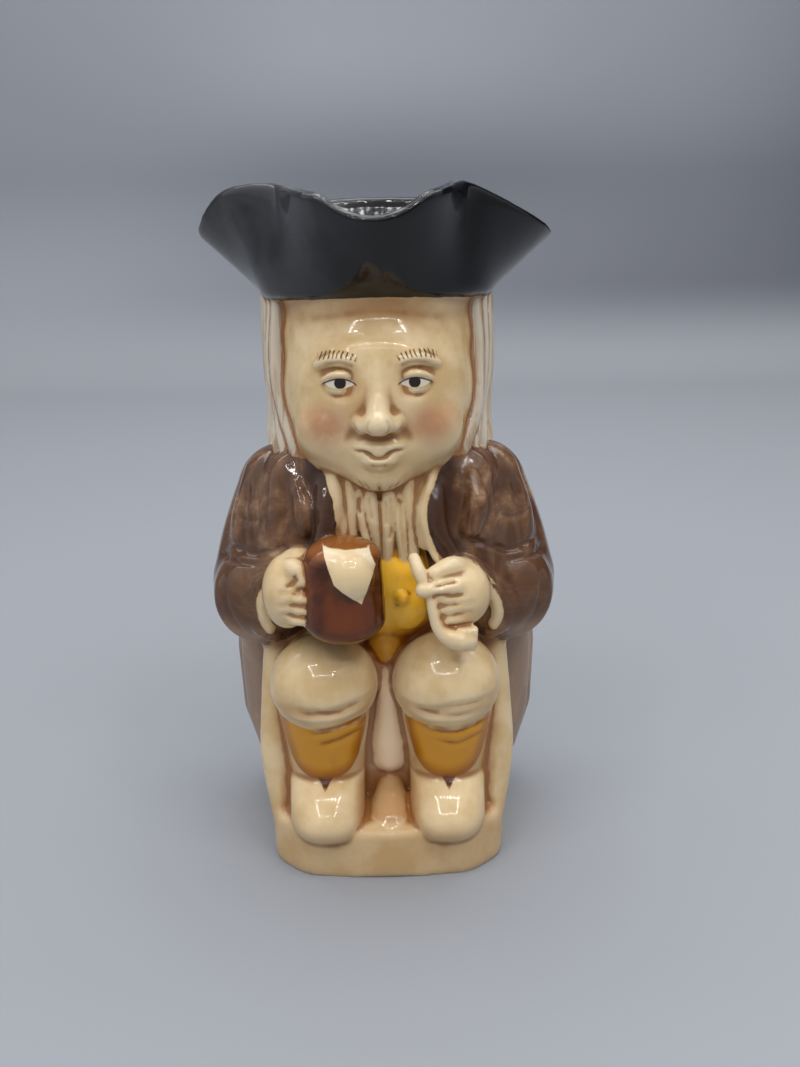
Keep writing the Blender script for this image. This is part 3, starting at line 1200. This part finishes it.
def makeStage():
    s = stage
    bpy.ops.mesh.primitive_plane_add(size=1, location=(0, (s["front"] + s["back"]) / 2, 0))
    sweep = bpy.context.object
    sweep.name = "backdrop"
    sweep.scale = (2 * s["halfWidth"], s["back"] - s["front"], 1)
    bpy.ops.object.transform_apply(location=True, rotation=False, scale=True)
    bpy.ops.object.mode_set(mode="EDIT")
    selectEdges(lambda a, b: a.y > s["back"] - 0.01 and b.y > s["back"] - 0.01)
    bpy.ops.mesh.extrude_region_move(TRANSFORM_OT_translate={"value": (0, 0, s["wall"])})
    selectEdges(lambda a, b: a.y > s["back"] - 0.01 and b.y > s["back"] - 0.01 and max(a.z, b.z) < 0.01)
    bpy.ops.mesh.bevel(offset=s["bend"], segments=24, affect="EDGES")
    bpy.ops.mesh.select_mode(type="VERT")
    bpy.ops.object.mode_set(mode="OBJECT")
    bpy.ops.object.shade_smooth()
    material, tree, shader = newMaterial("backdropPaper")
    maths, ramp, blend = nodeTools(tree)
    place = node(tree, "ShaderNodeTexCoord").outputs["Object"]
    axes = node(tree, "ShaderNodeSeparateXYZ", {0: place}).outputs
    cloud = node(tree, "ShaderNodeTexNoise", {"Vector": place, "Scale": 1.6, "Detail": 1.0}).outputs["Fac"]
    wall = blend(ramp(axes["X"], *s["leftToRight"]), s["wallLeft"], s["wallRight"])
    glow = maths("MULTIPLY", ramp(maths("ABSOLUTE", axes["X"]), *s["glowAcross"]), ramp(axes["Z"], *s["glowUp"]))
    wall = blend(glow, wall, s["wallTop"])
    wall = blend(ramp(cloud, 0.45, 0.8), wall, s["wallLeft"])
    tone = blend(ramp(axes["Z"], *s["horizon"]), s["floor"], wall)
    setSocket(tree, shader.inputs["Base Color"], tone)
    shader.inputs["Roughness"].default_value = s["roughness"]
    sweep.data.materials.append(material)


lamps = {  # place, target, width, height, power
    "softbox": ((0.35, -0.15, 0.7), (0, 0, 0.08), 0.5, 0.5, 0.7),
    "topCard": ((0.05, 0.32, 0.9), (0, 0, 0.05), 0.8, 0.7, 2.6),
    "backLight": ((0.0, 0.35, 0.8), (0, 0.66, 0.0), 1.6, 0.2, 2.6),
}
ledSquare = {
    "centre": (0.0, -0.55, 0.82),
    "sides": (0.77, 0.52),
    "perSide": 8,
    "lamp": 0.021,
    "power": 0.155,  # each lamp
}
room = {  # how bright the surroundings are
    "left": 0.3,
    "front": 0.18,
    "back": 0.28,
    "above": 0.4,
    "tint": (0.93, 0.96, 1, 1),
}


def addLamp(name, place, target, width, height, power):
    bpy.ops.object.light_add(type="AREA", location=place)
    lamp = bpy.context.object
    lamp.name = name
    lamp.rotation_euler = (Vector(target) - Vector(place)).to_track_quat("-Z", "Y").to_euler()
    lamp.data.shape = "RECTANGLE"
    lamp.data.size, lamp.data.size_y = width, height
    lamp.data.energy = power
    lamp.visible_camera = False


def makeLights():
    for name, settings in lamps.items():
        addLamp(name, *settings)
    led = ledSquare
    for k in range(4 * led["perSide"]):
        along = (k % led["perSide"]) / led["perSide"] - 0.5
        corner = Vector((along, 0.5))
        corner.rotate(Matrix.Rotation(math.radians(90 * (k // led["perSide"])), 2))
        place = Vector(led["centre"]) + Vector((corner.x * led["sides"][0], corner.y * led["sides"][1], 0))
        addLamp("led", place, (0, 0, 0.08), led["lamp"], led["lamp"], led["power"])
    world = bpy.data.worlds.new("lightTent")
    bpy.context.scene.world = world
    world.use_nodes = True
    tree = world.node_tree
    background = tree.nodes["Background"]
    background.inputs[0].default_value = room["tint"]
    maths, ramp = nodeTools(tree)[:2]
    way = node(tree, "ShaderNodeSeparateXYZ", {0: node(tree, "ShaderNodeTexCoord").outputs["Generated"]}).outputs
    total = maths("ADD", ramp(way[1], -0.9, 0.7, 0, room["back"]), ramp(way[2], 0.0, 0.9, 0, room["above"]))
    total = maths("ADD", total, room["front"])
    total = maths("ADD", total, ramp(way[0], 0.1, -0.9, 0, room["left"]))
    setSocket(tree, background.inputs[1], total)


view = {
    "lens": 42.17,
    "place": (4.5, -315.4, 176.4),
    "down": 17.0,
    "roll": 1.15,
}


def makeCamera():
    bpy.ops.object.camera_add(location=Vector(view["place"]) * mm)
    camera = bpy.context.object
    turn = Euler((math.radians(90 - view["down"]), 0, 0)).to_matrix()
    camera.rotation_euler = (turn @ Euler((0, 0, -math.radians(view["roll"]))).to_matrix()).to_euler()
    camera.data.lens = view["lens"]
    camera.data.clip_start = 0.01
    bpy.context.scene.camera = camera


makeStage()
makeLights()
makeCamera()
bpy.context.scene.view_settings.view_transform = "Standard"
print("stage, light and camera set")
